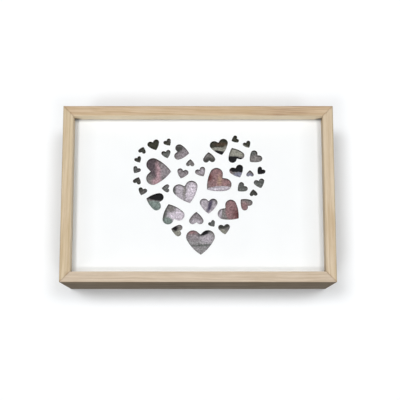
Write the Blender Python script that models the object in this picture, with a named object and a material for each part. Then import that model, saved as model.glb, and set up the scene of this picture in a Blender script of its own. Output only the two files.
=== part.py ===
"""Wooden picture box with a recessed panel, whose cut-outs are laid out as one large heart.

The box lies on its back: the picture faces +Z, and its upper side is towards +Y. Lengths are in metres.
Four mitred rails hold three boards. The panel and the printed sheet behind it share one groove, and the
back board lies in a rebate. The heart-shaped cut-outs are placed on a grid, each by its middle, its width
and its turn.
"""
import math

import bmesh
import bpy

# Box
BOX_WIDTH = 0.280
BOX_HEIGHT = 0.184
BOX_DEPTH = 0.072
RAIL_FACE = 0.0108       # width of a rail's front edge
EDGE_EASE = 0.0008       # chamfer along the front edges
FIT_GAP = 0.0003         # clearance between pieces that touch

# Panel and print, one behind the other in the rails' groove
PANEL_RECESS = 0.012     # from the front edges down to the panel
PANEL_THICK = 0.003
PRINT_THICK = 0.001
GROOVE_DEPTH = 0.005

# Back board
BACK_THICK = 0.003
BACK_INSET = 0.001       # from the back edges in to the board
REBATE_DEPTH = 0.005

# Pattern of cut-outs, on the part of the panel that shows between the rails
PATTERN_MARGIN = 0.018   # least clear panel around the pattern
PATTERN_RIGHT = 0.0012   # how far the pattern stands from the panel's middle, to the right and up
PATTERN_UP = 0.0007
FACET_ERROR = 0.00012    # how far a flat of a cut-out may lie off its arc
CUT_PAST = 0.002         # how far the cutters run past both sides of the panel

# One heart, as shares of its own width
LOBE_SHARE = 0.24        # radius of a lobe
TALL_SHARE = 0.885       # from the tops of the lobes to the tip
NOTCH_LEAN = math.radians(47)   # how far each side of the notch leans from upright
TIP_LEAN = math.radians(56)     # how far a side leans from upright where it leaves the tip

# The pattern's grid, whose cells are a little taller than wide. Each heart has its middle, its width and
# its turn in degrees, counter-clockwise from upright.
CELL_RATIO = 1.02        # height of a cell over its width
FLAT_RATIO = 0.955       # height of a heart on the grid over the height that its outline has
HEARTS = (
    # Left lobe, from its top down
    (-46.1, 50.2, 12.0, 22),
    (-32.2, 53.0, 8.0, 35),
    (-57.3, 44.6, 7.6, 164),
    (-17.5, 42.9, 16.3, 83),
    (-33.3, 40.8, 9.3, 15),
    (-61.6, 35.5, 7.2, 30),
    (-40.4, 23.3, 28.0, 90),
    (-9.0, 32.0, 8.2, 178),
    (-62.0, 25.2, 8.0, -33),
    (-16.2, 21.4, 11.2, -17),
    (0.9, 23.2, 10.6, 30),
    (-62.1, 13.9, 8.1, 159),
    (-56.0, 3.5, 8.7, -18),
    (-33.5, 6.4, 8.3, -90),
    # Right lobe, from its top down
    (19.7, 48.1, 18.4, 15),
    (36.2, 56.1, 7.8, -65),
    (47.5, 50.8, 8.0, 29),
    (10.0, 37.5, 12.0, -176),
    (37.3, 39.5, 16.7, -155),
    (56.9, 38.5, 13.7, -48),
    (20.0, 15.2, 26.8, -52),
    (37.0, 23.8, 14.3, 24),
    (50.7, 21.4, 7.4, 180),
    (62.2, 24.3, 8.7, -42),
    (43.4, 7.9, 10.7, -49),
    (59.6, 11.4, 10.6, 17),
    (54.1, 2.0, 7.7, 185),
    # Middle and tip
    (-13.9, 2.9, 25.0, 17),
    (-43.9, -6.9, 18.4, -106),
    (-25.4, -19.3, 22.4, -160),
    (9.4, -11.3, 17.6, 0),
    (28.8, -14.8, 22.8, 51),
    (47.1, -9.9, 12.9, -134),
    (-2.8, -23.1, 14.2, 180),
    (-22.0, -35.4, 11.8, -103),
    (12.2, -28.3, 7.2, 35),
    (24.6, -34.1, 11.5, 7),
    (1.3, -47.0, 28.3, 1),
)

# Heights above the back edges, and sizes between the rails
PANEL_TOP = BOX_DEPTH - PANEL_RECESS
PANEL_BOTTOM = PANEL_TOP - PANEL_THICK
PRINT_TOP = PANEL_BOTTOM - FIT_GAP
PRINT_BOTTOM = PRINT_TOP - PRINT_THICK
GROOVE_TOP = PANEL_TOP + FIT_GAP
GROOVE_BOTTOM = PRINT_BOTTOM - FIT_GAP
BACK_TOP = BACK_INSET + BACK_THICK
REBATE_TOP = BACK_TOP + FIT_GAP
OPEN_WIDTH = BOX_WIDTH - 2 * RAIL_FACE
OPEN_HEIGHT = BOX_HEIGHT - 2 * RAIL_FACE


def linear(channel):
    """One sRGB channel, 0 to 255, as a linear value."""
    share = channel / 255
    return share / 12.92 if share <= 0.04045 else ((share + 0.055) / 1.055) ** 2.4


def finish(name, colour, roughness, metallic=0.0):
    """A Principled material from a colour in sRGB hex."""
    material = bpy.data.materials.new(name)
    material.use_nodes = True
    shader = material.node_tree.nodes["Principled BSDF"]
    red, green, blue = (linear(int(colour[i:i + 2], 16)) for i in (1, 3, 5))
    shader.inputs["Base Color"].default_value = (red, green, blue, 1)
    shader.inputs["Roughness"].default_value = roughness
    shader.inputs["Metallic"].default_value = metallic
    material.diffuse_color = (red, green, blue, 1)
    return material


def add_piece(name, bm, material=None):
    """An object made of a bmesh, in the scene's collection."""
    mesh = bpy.data.meshes.new(name)
    bm.to_mesh(mesh)
    bm.free()
    if material:
        mesh.materials.append(material)
    piece = bpy.data.objects.new(name, mesh)
    bpy.context.scene.collection.objects.link(piece)
    return piece


def skin(bm, near, far):
    """A closed body between two outlines of as many points, near running clockwise as seen from far."""
    count = len(near)
    start = [bm.verts.new(point) for point in near]
    end = [bm.verts.new(point) for point in far]
    bm.faces.new(start)
    bm.faces.new(reversed(end))
    for i in range(count):
        j = (i + 1) % count
        bm.faces.new((start[j], start[i], end[i], end[j]))


# Rails

def rail_profile():
    """The rail's section as (distance in from the outer face, height), counter-clockwise."""
    rebate_wall = RAIL_FACE - REBATE_DEPTH
    groove_wall = RAIL_FACE - GROOVE_DEPTH
    return (
        (0, 0),
        (rebate_wall, 0),
        (rebate_wall, REBATE_TOP),
        (RAIL_FACE, REBATE_TOP),
        (RAIL_FACE, GROOVE_BOTTOM),
        (groove_wall, GROOVE_BOTTOM),
        (groove_wall, GROOVE_TOP),
        (RAIL_FACE, GROOVE_TOP),
        (RAIL_FACE, BOX_DEPTH - EDGE_EASE),
        (RAIL_FACE - EDGE_EASE, BOX_DEPTH),
        (EDGE_EASE, BOX_DEPTH),
        (0, BOX_DEPTH - EDGE_EASE),
    )


def rail(name, length, side_turn, away, material):
    """A rail with mitred ends, its outer face at a distance from the box's middle.

    It is modelled along X with its outer face towards -Y, and turned about the box's middle.
    """
    mitre_cut = FIT_GAP / math.sqrt(2)
    near = []
    far = []
    for inward, height in rail_profile():
        reach = length / 2 - inward - mitre_cut
        near.append((-reach, inward - away, height))
        far.append((reach, inward - away, height))
    bm = bmesh.new()
    skin(bm, far, near)
    piece = add_piece(name, bm, material)
    piece.rotation_euler.z = side_turn
    return piece


# Boards

def board(name, width, height, bottom, top, material):
    """A flat board around the middle of the box."""
    right = width / 2
    upper = height / 2
    bm = bmesh.new()
    plate(bm, [(-right, -upper), (right, -upper), (right, upper), (-right, upper)], bottom, top)
    return add_piece(name, bm, material)


def plate(bm, outline, bottom, top):
    """A prism with upright sides over an outline that runs counter-clockwise from above."""
    lower = [(x, y, bottom) for x, y in reversed(outline)]
    upper = [(x, y, top) for x, y in reversed(outline)]
    skin(bm, lower, upper)


# Cut-outs

def arc(centre, radius, start, end, error):
    """Points along an arc, close enough that its flats lie within an error of it."""
    step = 2 * math.acos(1 - error / radius)
    count = max(2, math.ceil(abs(end - start) / step))
    turns = [start + (end - start) * i / count for i in range(count + 1)]
    return [(centre[0] + radius * math.cos(turn), centre[1] + radius * math.sin(turn)) for turn in turns]


def heart(error):
    """A heart one unit wide, tip down, counter-clockwise, with its lobes' centres on the X axis.

    Each half is a lobe's arc, tangent to the notch's side, and a side's arc of a larger radius that goes on
    from it to the tip.
    """
    lobe_x = 0.5 - LOBE_SHARE
    notch = (LOBE_SHARE - lobe_x * math.cos(NOTCH_LEAN)) / math.sin(NOTCH_LEAN)
    tip = TALL_SHARE - LOBE_SHARE
    side_rise = tip * math.sin(TIP_LEAN) - lobe_x * math.cos(TIP_LEAN) - LOBE_SHARE
    side_radius = (lobe_x ** 2 + tip ** 2 - LOBE_SHARE ** 2) / (2 * side_rise)
    side_centre = (-side_radius * math.cos(TIP_LEAN), side_radius * math.sin(TIP_LEAN) - tip)
    lobe_start = math.pi - NOTCH_LEAN
    lobe_end = math.atan2(-side_centre[1], lobe_x - side_centre[0])
    right = arc((lobe_x, 0), LOBE_SHARE, lobe_start, lobe_end, error)
    right += arc(side_centre, side_radius, lobe_end, -TIP_LEAN, error)[1:-1]
    left = [(-x, y) for x, y in right]
    return [(0, notch)] + left + [(0, -tip)] + right[::-1]


def turned_heart(middle_x, middle_y, width, turn, unit):
    """A heart's outline on the grid, with the middle of its extent at its place."""
    cosine = math.cos(math.radians(turn))
    sine = math.sin(math.radians(turn))
    points = []
    for x, y in heart(FACET_ERROR / (width * unit)):
        points.append((width * (x * cosine - y * sine), width * (x * sine + y * cosine) * FLAT_RATIO))
    shift_x = middle_x - (min(x for x, y in points) + max(x for x, y in points)) / 2
    shift_y = middle_y - (min(y for x, y in points) + max(y for x, y in points)) / 2
    return [(x + shift_x, (y + shift_y) * CELL_RATIO) for x, y in points]


def pattern(unit):
    """Every heart's outline, in grid cells."""
    return [turned_heart(*row, unit) for row in HEARTS]


def extent(outlines, axis):
    """The least and the greatest value of all outlines along X (0) or Y (1)."""
    values = [point[axis] for outline in outlines for point in outline]
    return min(values), max(values)


def fitted_pattern():
    """The hearts' outlines at their real size, within the margin on every side of the open panel."""
    draft = pattern(OPEN_HEIGHT)
    left, right = extent(draft, 0)
    low, high = extent(draft, 1)
    across = (OPEN_WIDTH - 2 * PATTERN_MARGIN) / (right - left)
    upright = (OPEN_HEIGHT - 2 * PATTERN_MARGIN) / (high - low)
    cell = min(across, upright)
    middle_x = (left + right) / 2
    middle_y = (low + high) / 2
    outlines = []
    for outline in pattern(cell):
        outlines.append([
            (PATTERN_RIGHT + (x - middle_x) * cell, PATTERN_UP + (y - middle_y) * cell) for x, y in outline
        ])
    return outlines


def cut_hearts(panel):
    """Cuts every heart through the panel with one cutter of separate prisms."""
    bm = bmesh.new()
    for outline in fitted_pattern():
        plate(bm, outline, PANEL_BOTTOM - CUT_PAST, PANEL_TOP + CUT_PAST)
    cutter = add_piece("heart_cutter", bm)
    cutter.hide_render = True
    cutter.display_type = "WIRE"
    cut = panel.modifiers.new("hearts", "BOOLEAN")
    cut.operation = "DIFFERENCE"
    cut.solver = "EXACT"
    cut.object = cutter


def build():
    """Models the whole box."""
    for thing in list(bpy.data.objects):
        bpy.data.objects.remove(thing)

    rail("rail_bottom", BOX_WIDTH, 0, BOX_HEIGHT / 2, finish("rail_bottom", "#D2C2A4", 0.62))
    rail("rail_right", BOX_HEIGHT, math.pi / 2, BOX_WIDTH / 2, finish("rail_right", "#D2BC96", 0.62))
    rail("rail_top", BOX_WIDTH, math.pi, BOX_HEIGHT / 2, finish("rail_top", "#C9B18A", 0.62))
    rail("rail_left", BOX_HEIGHT, -math.pi / 2, BOX_WIDTH / 2, finish("rail_left", "#D2C09A", 0.62))

    groove_fit = 2 * (GROOVE_DEPTH - FIT_GAP)
    sheet_width = OPEN_WIDTH + groove_fit
    sheet_height = OPEN_HEIGHT + groove_fit
    white = finish("heart_panel", "#F4F2F3", 0.7)
    panel = board("heart_panel", sheet_width, sheet_height, PANEL_BOTTOM, PANEL_TOP, white)
    cut_hearts(panel)
    grey = finish("picture_print", "#8A8284", 0.5)
    board("picture_print", sheet_width, sheet_height, PRINT_BOTTOM, PRINT_TOP, grey)

    rebate_fit = 2 * (REBATE_DEPTH - FIT_GAP)
    brown = finish("back_board", "#A58A68", 0.8)
    board("back_board", OPEN_WIDTH + rebate_fit, OPEN_HEIGHT + rebate_fit, BACK_INSET, BACK_TOP, brown)


build()
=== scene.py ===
"""Looks of a wooden picture box, whose white panel shows a print through a heart of cut-outs.

The box lies on its back on a pale floor: the picture faces +Z, and its upper side is towards +Y.
"""
import logging
import math
from dataclasses import dataclass
from enum import Enum
from typing import Any, NamedTuple

import bmesh
import bpy
from mathutils import Matrix, Vector


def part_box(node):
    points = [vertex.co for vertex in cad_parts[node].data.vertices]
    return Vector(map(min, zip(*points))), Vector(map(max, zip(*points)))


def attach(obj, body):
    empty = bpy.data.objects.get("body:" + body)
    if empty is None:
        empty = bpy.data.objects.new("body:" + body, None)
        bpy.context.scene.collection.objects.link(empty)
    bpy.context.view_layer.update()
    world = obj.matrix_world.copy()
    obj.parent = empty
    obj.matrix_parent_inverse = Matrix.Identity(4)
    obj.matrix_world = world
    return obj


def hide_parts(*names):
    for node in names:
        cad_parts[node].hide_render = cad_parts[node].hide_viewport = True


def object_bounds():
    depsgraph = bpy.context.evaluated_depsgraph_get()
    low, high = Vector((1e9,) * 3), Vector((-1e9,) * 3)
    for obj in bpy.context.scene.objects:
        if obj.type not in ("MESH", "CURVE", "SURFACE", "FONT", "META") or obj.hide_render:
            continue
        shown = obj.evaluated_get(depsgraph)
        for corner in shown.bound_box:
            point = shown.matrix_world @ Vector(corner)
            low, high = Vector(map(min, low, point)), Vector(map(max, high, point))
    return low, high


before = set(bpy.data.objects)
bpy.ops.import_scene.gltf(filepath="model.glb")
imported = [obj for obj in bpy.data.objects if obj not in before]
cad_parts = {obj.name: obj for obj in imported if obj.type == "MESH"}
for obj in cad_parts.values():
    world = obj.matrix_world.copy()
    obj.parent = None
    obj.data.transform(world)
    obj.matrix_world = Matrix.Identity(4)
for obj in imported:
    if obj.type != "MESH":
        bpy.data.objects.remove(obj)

CAD_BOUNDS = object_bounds()
LOG = logging.getLogger("picture_box")
MM = 0.001

Point2 = tuple[float, float]
Size3 = tuple[float, float, float]
Span = tuple[float, float]


# Shared helpers

def linear(colour: str) -> tuple[float, float, float, float]:
    """Turns an sRGB hex colour into linear light.

    Args:
        colour: the colour as "#RRGGBB".

    Returns:
        Red, green, blue and an alpha of 1.
    """
    channels = []
    for start in (1, 3, 5):
        share = int(colour[start:start + 2], 16) / 255
        channels.append(share / 12.92 if share <= 0.04045 else ((share + 0.055) / 1.055) ** 2.4)
    return channels[0], channels[1], channels[2], 1.0


def add_node(tree: bpy.types.NodeTree, kind: str, inputs: dict[Any, Any] | None = None,
             **settings: Any) -> bpy.types.Node:
    """Adds a node with its settings, and sets or links its inputs.

    Args:
        tree: the node tree that the node goes into.
        kind: the node's type, such as "ShaderNodeMix".
        inputs: a value, or another node's output, for each input by its name, or by its number where the
            inputs share a name.
        settings: the node's own properties.

    Returns:
        The new node.
    """
    node = tree.nodes.new(kind)
    for name, value in settings.items():
        setattr(node, name, value)
    for name, value in (inputs or {}).items():
        if isinstance(value, bpy.types.NodeSocket):
            tree.links.new(value, node.inputs[name])
        else:
            node.inputs[name].default_value = value
    return node


def new_material(name: str, **constants: Any) -> tuple[bpy.types.Material, bpy.types.Node]:
    """Starts a material whose shader holds the constants.

    Args:
        name: the material's name.
        constants: values for the Principled shader's inputs, with underscores for spaces.

    Returns:
        The material and its Principled shader.
    """
    material = bpy.data.materials.new(name)
    material.use_nodes = True
    shader = material.node_tree.nodes["Principled BSDF"]
    for socket, value in constants.items():
        shader.inputs[socket.replace("_", " ")].default_value = value
    return material, shader


def mesh_object(name: str, mesh: bpy.types.Mesh) -> bpy.types.Object:
    """Puts a mesh in the scene as an object at the origin."""
    piece = bpy.data.objects.new(name, mesh)
    bpy.context.scene.collection.objects.link(piece)
    return piece


def as_plain_mesh(piece: bpy.types.Object) -> None:
    """Replaces an object's mesh by what its modifiers make of it, and takes the modifiers off."""
    evaluated = piece.evaluated_get(bpy.context.evaluated_depsgraph_get())
    mesh = bpy.data.meshes.new_from_object(evaluated)
    mesh.name = piece.name
    piece.modifiers.clear()
    piece.data = mesh


def smooth(mesh: bpy.types.Mesh, sharpest: float) -> None:
    """Shades a mesh smooth, apart from edges sharper than an angle in degrees."""
    mesh.shade_smooth()
    mesh.set_sharp_from_angle(angle=math.radians(sharpest))


def report(piece: bpy.types.Object) -> None:
    """Logs a finished piece with its number of faces."""
    LOG.info("%s: %d faces", piece.name, len(piece.data.polygons))


# Sizes, read from the frame

@dataclass(frozen=True)
class BoxSizes:
    """The box's real sizes in metres, with heights above the floor that it lies on."""

    width: float
    height: float
    depth: float
    rail_face: float
    panel_bottom: float
    panel_top: float
    print_bottom: float
    back_top: float
    sheet_width: float

    @classmethod
    def from_frame(cls) -> "BoxSizes":
        """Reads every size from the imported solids.

        Returns:
            The sizes.
        """
        low, high = CAD_BOUNDS
        left_low, left_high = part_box("rail_left")
        panel_low, panel_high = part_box("heart_panel")
        return cls(
            width=high[0] - low[0],
            height=high[1] - low[1],
            depth=high[2] - low[2],
            rail_face=left_high[0] - left_low[0],
            panel_bottom=panel_low[2],
            panel_top=panel_high[2],
            print_bottom=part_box("picture_print")[0][2],
            back_top=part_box("back_board")[1][2],
            sheet_width=panel_high[0] - panel_low[0],
        )

    @property
    def open_width(self) -> float:
        """Width between the side rails."""
        return self.width - 2 * self.rail_face

    @property
    def open_height(self) -> float:
        """Height between the lower and the upper rail."""
        return self.height - 2 * self.rail_face

    @property
    def groove_depth(self) -> float:
        """How far the panel reaches into each rail's groove."""
        return (self.sheet_width - self.open_width) / 2


class Side(Enum):
    """A side of the box, by how far its rail is turned about +Z from the lower side."""

    LOWER = 0
    RIGHT = 90
    UPPER = 180
    LEFT = -90

    @property
    def turn(self) -> float:
        """The turn in radians."""
        return math.radians(self.value)

    @property
    def lies_across(self) -> bool:
        """Whether the rail runs from left to right."""
        return self in (Side.LOWER, Side.UPPER)


# Finishes

class Stain(NamedTuple):
    """A darker, redder place in a rail, in millimetres from the rail's middle and in from its outer face.

    along_mm counts to the right as the rail is seen from outside the box, and strength is the share of the
    stain's colour in its core. deep_mm is how far it reaches behind the front edge, and core is the share
    of its reach that the core takes.
    """

    along_mm: float
    in_mm: float
    half_along_mm: float
    half_in_mm: float
    strength: float
    deep_mm: float = 40.0
    core: float = 0.1


@dataclass(frozen=True)
class RailCut:
    """Where one rail was cut from its board, with the board's tones.

    pith_in_mm and pith_back_mm place the tree's pith from the rail's outer front edge, along_mm shifts the
    pattern along the board, and slant is the angle of the grain to the rail in degrees. inner_painted_light
    is the share of a pale colour on the inner wall, which is painted light, set for each side.
    outer_shade_dim darkens the outer face with painted shade, and arris_shade_dim its arris. corner_shade_mm
    is how far the painted shade at the foot of the recess's wall reaches at each mitre: along the rail, into
    it and up the wall.
    """

    side: Side
    pale: str
    middle: str
    dark: str
    pith_in_mm: float
    pith_back_mm: float
    along_mm: float
    ring_mm: float = 2.6
    slant: float = 1.0
    inner_painted_light: float = 0.0
    outer_shade_dim: float = 0.92
    arris_shade_dim: float = 0.9
    corner_shade_mm: Size3 = (3.0, 1.2, 9.0)
    stains: tuple[Stain, ...] = ()


@dataclass(frozen=True)
class WaxedPine:
    """Planed and sanded pine, waxed matt.

    The eye gets pale straight grain: growth rings cut nearly lengthwise, longer tone streaks, short fine
    fibres and a soft sheen. Painted shade darkens the inner corners of the mitres, the outer faces and their
    arrises, and painted light brightens the inner walls. It is laid out in millimetres: X along the rail, Y
    in from its outer face and Z up from its front edge. The fibres are drawn 0.6 mm wide, twice their real
    width, so that the render shows them.

    A Size3 is a pattern's length along the grain and its two widths. A Span of tones is the value where a
    pattern is low and where it is high, and a Span in millimetres is where a change starts and ends, for
    wall_edge_mm counted back from the inner wall. The late_ values are where in a growth ring its dark end
    starts, is darkest and starts to fade.
    """

    name: str
    cut: RailCut
    sizes: BoxSizes
    streak_mm: Size3 = (120, 1.6, 1.6)
    drift_mm: Size3 = (42, 8, 18)
    fibre_mm: Size3 = (9, 0.6, 0.6)
    ring_wave_mm: Size3 = (110, 7, 7)
    bend_mm: Size3 = (90, 40, 40)
    bend_range_mm: float = 5.0
    late_start: float = 0.25
    late_full: float = 0.85
    late_fade: float = 0.86
    ring_strength: float = 0.13
    drift_tone: Span = (1.05, 0.94)
    fibre_tone: Span = (0.95, 1.05)
    warmth_tone: Span = (0.9, 1.06)
    patch_tone: Span = (1.08, 0.92)
    flat_ring_tone: Span = (1.06, 0.84)
    sheen_roughness: Span = (0.52, 0.68)
    relief_mm: float = 0.12
    outer_yellow: float = 0.2
    outer_edge_mm: Span = (0.05, 0.25)
    wall_edge_mm: Span = (0.6, 0.1)
    # Painted shade on the outer arris: how far in from the outer face it is darkest, and over what distance
    # from there it fades.
    arris_in_mm: float = 0.6
    arris_fade_mm: Span = (0.15, 0.7)
    mark_least: float = 0.25
    # Painted shade in the inner corners: its strength, and the share of its reach that its core takes.
    corner_shade_strength: float = 0.9
    corner_shade_core: float = 0.35
    glue_line_mm: float = 1.3
    glue_line_strength: float = 0.42
    stain_colour: str = "#8C6547"
    # The pale colour painted as light on the inner walls, and the dark colour painted as shade in the inner
    # corners.
    inner_light_colour: str = "#FAE9CB"
    corner_shade_colour: str = "#4A382A"

    def build(self) -> bpy.types.Material:
        """Makes the material.

        Returns:
            The material, whose grain runs along the rail.
        """
        material, shader = new_material(self.name, IOR=1.5, Specular_IOR_Level=0.2)
        tree = material.node_tree
        rail = self.rail_coordinates(tree)
        grain = self.bent_grain(tree, rail)
        late_wood = self.late_wood(tree, grain)
        streak = self.streaks(tree, grain, self.streak_mm, detail=4, seed=0)
        drift = self.streaks(tree, grain, self.drift_mm, detail=4, seed=31)
        fibre = self.streaks(tree, grain, self.fibre_mm, detail=3, seed=57)
        paler = add_node(tree, "ShaderNodeMapRange", {
            "Value": streak, "From Min": 0.36, "From Max": 0.64,
        }).outputs["Result"]
        layers = [(paler, self.cut.pale), (late_wood, self.cut.dark)]
        layers += [(self.stain(tree, rail, streak, stain), self.stain_colour) for stain in self.cut.stains]
        layers.append((self.glue_line(tree, rail, streak), self.stain_colour))
        # Painted light: a pale colour on the inner walls, with a share set for each rail.
        layers.append((self.inner_wall(tree, rail), self.inner_light_colour))
        # Painted shade in the inner corners at the mitres.
        layers.append((self.corners(tree, rail), self.corner_shade_colour))
        colour: Any = linear(self.cut.middle)
        for share, over in layers:
            colour = add_node(tree, "ShaderNodeMix", {
                "Factor": share, "A": colour, "B": linear(over),
            }, data_type="RGBA").outputs["Result"]
        outside = self.outer_face(tree, rail)
        # The outer face and its arris get painted shade.
        brightness = self.outside_shade_and_rings(tree, rail, outside, drift, late_wood)
        for layer, (at_low, at_high) in ((drift, self.drift_tone), (fibre, self.fibre_tone)):
            change = add_node(tree, "ShaderNodeMapRange", {
                "Value": layer, "From Min": 0.3, "From Max": 0.7, "To Min": at_low, "To Max": at_high,
            })
            brightness = add_node(tree, "ShaderNodeMath", {0: brightness, 1: change.outputs[0]},
                                  operation="MULTIPLY").outputs[0]
        warmth = add_node(tree, "ShaderNodeMapRange", {
            "Value": drift, "From Min": 0.3, "From Max": 0.7,
            "To Min": self.warmth_tone[0], "To Max": self.warmth_tone[1],
        }).outputs["Result"]
        yellowed = add_node(tree, "ShaderNodeMath", {0: outside, 1: self.outer_yellow, 2: warmth},
                            operation="MULTIPLY_ADD").outputs[0]
        wood = add_node(tree, "ShaderNodeHueSaturation", {
            "Saturation": yellowed, "Value": brightness, "Color": colour,
        }).outputs["Color"]
        tree.links.new(wood, shader.inputs["Base Color"])
        sheen = add_node(tree, "ShaderNodeMapRange", {
            "Value": fibre, "From Min": 0.2, "From Max": 0.8,
            "To Min": self.sheen_roughness[0], "To Max": self.sheen_roughness[1],
        }).outputs["Result"]
        tree.links.new(sheen, shader.inputs["Roughness"])
        relief = add_node(tree, "ShaderNodeMath", {0: late_wood, 1: fibre}, operation="ADD").outputs[0]
        bump = add_node(tree, "ShaderNodeBump", {
            "Strength": 0.2, "Distance": self.relief_mm * MM, "Height": relief,
        })
        tree.links.new(bump.outputs["Normal"], shader.inputs["Normal"])
        return material

    def rail_coordinates(self, tree: bpy.types.NodeTree) -> bpy.types.NodeSocket:
        """Lays millimetres along the rail: X along it, Y in from its outer face, Z up from its front edge."""
        across = self.sizes.height if self.cut.side.lies_across else self.sizes.width
        place = add_node(tree, "ShaderNodeTexCoord").outputs["Object"]
        return add_node(tree, "ShaderNodeMapping", {
            "Vector": place,
            "Location": (0, across / 2 / MM, -self.sizes.depth / MM),
            "Rotation": (0, 0, -self.cut.side.turn),
            "Scale": (1 / MM, 1 / MM, 1 / MM),
        }).outputs["Vector"]

    def bent_grain(self, tree: bpy.types.NodeTree, rail: bpy.types.NodeSocket) -> bpy.types.NodeSocket:
        """Finds the place in the board: slanted to the rail, and bent a little over a hand's width."""
        board = add_node(tree, "ShaderNodeMapping", {
            "Vector": rail,
            "Location": (self.cut.along_mm, 0, 0),
            "Rotation": (0, 0, math.radians(self.cut.slant)),
        }).outputs["Vector"]
        slow = add_node(tree, "ShaderNodeVectorMath", {
            0: board, 1: tuple(1 / size for size in self.bend_mm),
        }, operation="MULTIPLY").outputs[0]
        noise = add_node(tree, "ShaderNodeTexNoise", {"Vector": slow, "Scale": 1.0, "Detail": 2.0})
        centred = add_node(tree, "ShaderNodeVectorMath", {0: noise.outputs["Color"], 1: (0.5, 0.5, 0.5)},
                           operation="SUBTRACT").outputs[0]
        return add_node(tree, "ShaderNodeVectorMath", {
            0: centred, 1: (0, self.bend_range_mm, self.bend_range_mm), 2: board,
        }, operation="MULTIPLY_ADD").outputs[0]

    @staticmethod
    def streaks(tree: bpy.types.NodeTree, grain: bpy.types.NodeSocket, size_mm: Size3, detail: float,
                seed: float) -> bpy.types.NodeSocket:
        """Draws uneven streaks, between 0 and 1.

        Args:
            tree: the material's tree.
            grain: the place in the board.
            size_mm: a streak's length along the grain and its two widths.
            detail: how many finer sizes it also has.
            seed: a shift that makes it differ from other streaks.

        Returns:
            The output that carries them.
        """
        scaled = add_node(tree, "ShaderNodeVectorMath", {
            0: grain, 1: tuple(1 / size for size in size_mm), 2: (seed, seed, seed),
        }, operation="MULTIPLY_ADD").outputs[0]
        return add_node(tree, "ShaderNodeTexNoise", {
            "Vector": scaled, "Scale": 1.0, "Detail": detail, "Roughness": 0.6,
        }).outputs["Fac"]

    def late_wood(self, tree: bpy.types.NodeTree, grain: bpy.types.NodeSocket) -> bpy.types.NodeSocket:
        """Draws the darker end of each growth ring around the pith, between 0 and the ring's strength."""
        flat = add_node(tree, "ShaderNodeVectorMath", {0: grain, 1: (0, 1, 1)},
                        operation="MULTIPLY").outputs[0]
        from_pith = add_node(tree, "ShaderNodeVectorMath", {
            0: flat, 1: (0, self.cut.pith_in_mm, -self.cut.pith_back_mm),
        }, operation="DISTANCE").outputs["Value"]
        uneven = self.streaks(tree, grain, self.ring_wave_mm, detail=1, seed=12)
        rings = add_node(tree, "ShaderNodeMath", {0: from_pith, 1: 1 / self.cut.ring_mm, 2: uneven},
                         operation="MULTIPLY_ADD").outputs[0]
        ring = add_node(tree, "ShaderNodeMath", {0: rings}, operation="FRACT").outputs[0]
        rise = add_node(tree, "ShaderNodeMapRange", {
            "Value": ring, "From Min": self.late_start, "From Max": self.late_full,
            "To Max": self.ring_strength,
        }, interpolation_type="SMOOTHSTEP").outputs["Result"]
        fall = add_node(tree, "ShaderNodeMapRange", {
            "Value": ring, "From Min": self.late_fade, "From Max": 1.0, "To Min": 1.0, "To Max": 0.0,
        }, interpolation_type="SMOOTHSTEP").outputs["Result"]
        return add_node(tree, "ShaderNodeMath", {0: rise, 1: fall}, operation="MULTIPLY").outputs[0]

    def stain(self, tree: bpy.types.NodeTree, rail: bpy.types.NodeSocket, streak: bpy.types.NodeSocket,
              stain: Stain) -> bpy.types.NodeSocket:
        """Draws a stain, broken up along the grain.

        Args:
            tree: the material's tree.
            rail: the place on the rail.
            streak: the long streaks of the grain.
            stain: the stain to draw.

        Returns:
            The output that carries its share, between 0 and the stain's strength.
        """
        local = add_node(tree, "ShaderNodeMapping", {
            "Vector": rail,
            "Location": (stain.along_mm, stain.in_mm, 0),
            "Scale": (stain.half_along_mm, stain.half_in_mm, stain.deep_mm),
        }, vector_type="TEXTURE").outputs["Vector"]
        reach = add_node(tree, "ShaderNodeVectorMath", {0: local}, operation="LENGTH").outputs["Value"]
        cover = add_node(tree, "ShaderNodeMapRange", {
            "Value": reach, "From Min": stain.core, "From Max": 1.0,
            "To Min": stain.strength, "To Max": 0.0,
        }, interpolation_type="SMOOTHSTEP").outputs["Result"]
        return self.broken_up(tree, cover, streak)

    def broken_up(self, tree: bpy.types.NodeTree, cover: bpy.types.NodeSocket,
                  streak: bpy.types.NodeSocket) -> bpy.types.NodeSocket:
        """Breaks a mark up along the grain, because it sinks into some streaks less than into others."""
        share = add_node(tree, "ShaderNodeMapRange", {
            "Value": streak, "From Min": 0.35, "From Max": 0.6, "To Min": 1.0, "To Max": self.mark_least,
        }).outputs["Result"]
        return add_node(tree, "ShaderNodeMath", {0: cover, 1: share}, operation="MULTIPLY").outputs[0]

    def outer_face(self, tree: bpy.types.NodeTree, rail: bpy.types.NodeSocket) -> bpy.types.NodeSocket:
        """Finds the outer face, up to where its arris rounds off: it is drawn yellower, and takes painted
        shade.
        """
        inward = add_node(tree, "ShaderNodeSeparateXYZ", {0: rail}).outputs["Y"]
        return add_node(tree, "ShaderNodeMapRange", {
            "Value": inward, "From Min": self.outer_edge_mm[0], "From Max": self.outer_edge_mm[1],
            "To Min": 1.0, "To Max": 0.0,
        }).outputs["Result"]

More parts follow.
